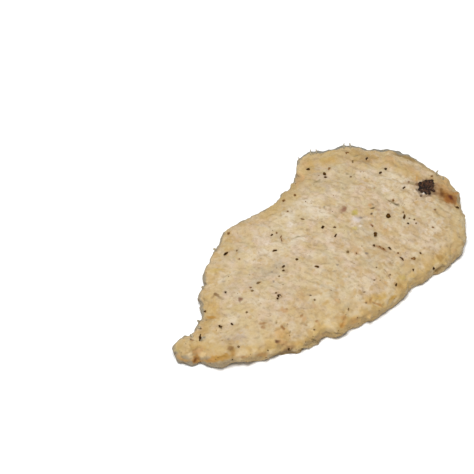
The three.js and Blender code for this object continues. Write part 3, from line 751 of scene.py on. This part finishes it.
# Toasted crumbs are bits of husk and flour coating that browned in the heat and lie sunk in the crust.
# Here are the ones that the camera sees, with their length, width and turn from level.
CRUMBS = [
    (283.9, 200.7, 3, 2.5, 0), (295, 195, 2.5, 2.2, 0), (287.5, 211.5, 2, 2, 0), (276.5, 232.8, 2, 1.8, 0),
    (281, 236.8, 3, 1.2, 70), (281.5, 239.8, 3, 1.1, 105), (356.3, 254, 3, 1.2, 85),
    (431.7, 176.3, 2.4, 2, 0), (432.8, 227.3, 3, 2, 0), (329.3, 168.6, 2.6, 2.4, 0),
    (347, 152.8, 3.6, 2, 0), (228.6, 233.2, 3, 2.2, 40), (239.2, 259.2, 3, 1.6, 0),
    (250.3, 287.3, 3, 1.4, 0), (383.8, 249, 5.4, 2.4, -20), (379.5, 246.5, 3, 1.6, -30),
    (398, 253, 2.2, 2, 0), (413.2, 258.7, 4.8, 3.2, 0), (372, 226, 2.4, 2.2, 0), (393.5, 200, 2.5, 2, 0),
]
CRUMB_HEIGHT = 0.3
halo(CRUMBS, 2.5, TOAST, 0.4)
chips = [chip_at(number, mark, CRUMB_HEIGHT) for number, mark in enumerate(CRUMBS)]

# Finer ones lie all over the crust, also where the camera doesn't look, but not close to the table.
DUST = 160
DUST_SIZE = (0.12, 0.3)  # half-lengths in mm
DUST_WIDTH = (0.5, 0.9)  # of the length
DUST_THICKNESS = 0.1 * MM
DUST_ABOVE = 0.5 * MM
DUST_REACH = (1, 1, 1.6)  # of the crust's size: they fall from higher up too, so most lie on its top
size = high - low
chance = random.Random(SEED)
speck_meshes = [chip_mesh(f"speck_{seed}", seed, CHIP_ROUGHNESS, 1) for seed in range(1, 6)]
for number in range(DUST):
    spot = Vector(low + size * np.array([chance.random() for _ in range(3)]) * DUST_REACH)
    _, place, normal, _ = crust.closest_point_on_mesh(spot)
    if place.z < DUST_ABOVE:
        continue
    long_way = normal.orthogonal().normalized()
    long_way.rotate(Matrix.Rotation(chance.uniform(0, math.tau), 3, normal))
    long_way *= chance.uniform(*DUST_SIZE) * MM
    wide_way = normal.cross(long_way) * chance.uniform(*DUST_WIDTH)
    mesh = speck_meshes[number % len(speck_meshes)]
    chips.append(lay(mesh, place, long_way, wide_way, normal * DUST_THICKNESS))
crumbs = joined(chips, "toasted_crumbs")
shader, place = new_material(crumbs, "toasted_crumbs")
husk = clouds(place, 0.4 * MM, 2.4)
feed(shader, "Base Color", tinted(over(husk, 0.4, 0.65), shown(104, 67, 25), shown(150, 110, 60)))
shader.inputs["Roughness"].default_value = 0.8
shader.inputs["Specular IOR Level"].default_value = 0.2
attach(crumbs, "root")

# Hairs and small flakes of flour coating stand out from the rim, where the wet coating dried in points.
# Each runs from where it's rooted to its tip, both by pixel, and has its width in pixels.
HAIRS = [
    (438, 176, 436.4, 171.6, 1.6), (436.6, 172, 438.2, 170.2, 1.3), (443, 180, 443.4, 176.9, 1.5),
    (311, 155.5, 310.3, 149.8, 1.4), (316.5, 154, 316, 149.2, 1.3), (343.8, 149, 344, 143.4, 1.4),
    (350.3, 148.6, 349.8, 143, 1.4), (217, 251, 213.6, 248.4, 2.6), (200, 322, 197.3, 320.3, 2.4),
    (200.6, 327.5, 197.6, 327, 2.2), (193, 337, 190.2, 334.4, 2.2), (312.5, 154.5, 313.6, 152, 1.1),
    (383, 151.4, 384.4, 149.6, 1.2),
]
HALF_PIXEL = 0.19 * MM  # of the camera's picture, on the piece
HAIR_REACH = 0.55  # of a hair's length each way from its middle, so that its root lies in the crust
chips = []
for number, (x, y, tip_x, tip_y, width) in enumerate(HAIRS):
    root, _ = crust_at(x, y)
    ray = sight(tip_x, tip_y)
    tip = camera.location + ray * ((root - camera.location).dot(CAMERA_BACK) / ray.dot(CAMERA_BACK))
    wide_way = CAMERA_BACK.cross(tip - root).normalized() * (HALF_PIXEL * width)
    mesh = chip_meshes[number % len(chip_meshes)]
    long_way = (tip - root) * HAIR_REACH
    chips.append(lay(mesh, (root + tip) / 2, long_way, wide_way, CAMERA_BACK * wide_way.length))
hairs = joined(chips, "rim_hairs")
hairs.data.vertices.foreach_set("co", np.clip(points_of(hairs.data), low, high).ravel())
shader, place = new_material(hairs, "coating_hairs")
mottled = clouds(place, 1 * MM, 5.5)
feed(shader, "Base Color", tinted(over(mottled, 0.4, 0.6), shown(160, 148, 120), shown(190, 176, 146)))
shader.inputs["Roughness"].default_value = 0.8
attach(hairs, "root")

# The burnt clump is a ragged heap of charred coating, baked fast to the crust near the broad end.
# These lumps, by pixel and radius, are run together and roughened.
CLUMP = [
    (419.2, 184.6, 1.3), (421, 184.2, 1.9), (423.4, 183, 1.9), (426.2, 181.6, 2.1), (429, 181.2, 1.8),
    (431.8, 181, 1.8), (432.6, 183.6, 1.7), (431.2, 186.2, 2.0), (419.8, 189.4, 2.0), (421.6, 187.2, 2.2),
    (421.8, 191, 1.9), (424.4, 186.4, 2.4), (430, 184, 2.2), (428, 183.4, 2.2), (423, 188.6, 2.2),
    (426, 184, 2.2), (430.6, 187.6, 2.2), (421.6, 189.2, 1.8), (427.2, 185, 2.4), (427.4, 188, 2.6),
    (424.6, 189.6, 2.0), (430, 189.6, 2.2), (426.6, 191.6, 1.8), (429, 192.4, 1.6), (432.4, 189.4, 1.6),
    (433.8, 191, 1.2), (426, 193.6, 1.1),
]
CLUMP_LIFT = 0.1 * MM
CLUMP_FLATNESS = 0.72
CLUMP_VOXEL = 0.16 * MM
lumps = []
for x, y, radius in CLUMP:
    place, right, _, _ = patch(x, y, 2 * radius, 2 * radius, 0)
    middle = place - sight(x, y) * CLUMP_LIFT
    bpy.ops.mesh.primitive_ico_sphere_add(subdivisions=3, radius=right.length, location=middle)
    lump = bpy.context.object
    lump.scale.z = CLUMP_FLATNESS
    lumps.append(lump)
clump = joined(lumps, "burnt_clump")
bpy.ops.object.transform_apply(location=True, rotation=True, scale=True)
clump.data.remesh_voxel_size = CLUMP_VOXEL
bpy.ops.object.voxel_remesh()
relief(clump, "charred", 0.9 * MM, 0.5 * MM)
relief(clump, "cracked", 0.4 * MM, 0.2 * MM)
bpy.ops.object.shade_smooth()
shader, place = new_material(clump, "burnt_coating")
mottled = clouds(place, 1.1 * MM, 2.2)
# Pale flecks over the char are partly ash and partly painted highlight.
ash_and_highlight = clouds(place, 0.5 * MM, 8.1, 2)
colour = tinted(over(mottled, 0.4, 0.6), shown(22, 10, 4), shown(74, 45, 27))
colour = tinted(over(ash_and_highlight, 0.52, 0.7) * 0.7, colour, shown(120, 88, 64))
feed(shader, "Base Color", colour)
shader.inputs["Roughness"].default_value = 0.8
shader.inputs["Specular IOR Level"].default_value = 0.25
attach(clump, "root")

# The floor is a white table top, on which the piece lies.
# A broad soft lamp hangs over it, and light comes from all round.
bpy.ops.mesh.primitive_plane_add(size=3)
floor = bpy.context.object
floor.name = "floor"
shader, _ = new_material(floor, "white_table")
shader.inputs["Base Color"].default_value = (0.85, 0.85, 0.85, 1)
shader.inputs["Roughness"].default_value = 0.7

bpy.ops.object.light_add(type="AREA", location=(-0.156, 0.002, 0.85))
lamp = bpy.context.object
lamp.rotation_euler = Vector(lamp.location).to_track_quat("Z", "Y").to_euler()
lamp.data.shape = "DISK"
lamp.data.size = 0.4
lamp.data.energy = 9
world = bpy.data.worlds.new("studio")
bpy.context.scene.world = world
world.use_nodes = True
world.node_tree.nodes["Background"].inputs["Color"].default_value = (1, 1, 1, 1)
world.node_tree.nodes["Background"].inputs["Strength"].default_value = 0.32
bpy.context.scene.view_settings.view_transform = "Standard"
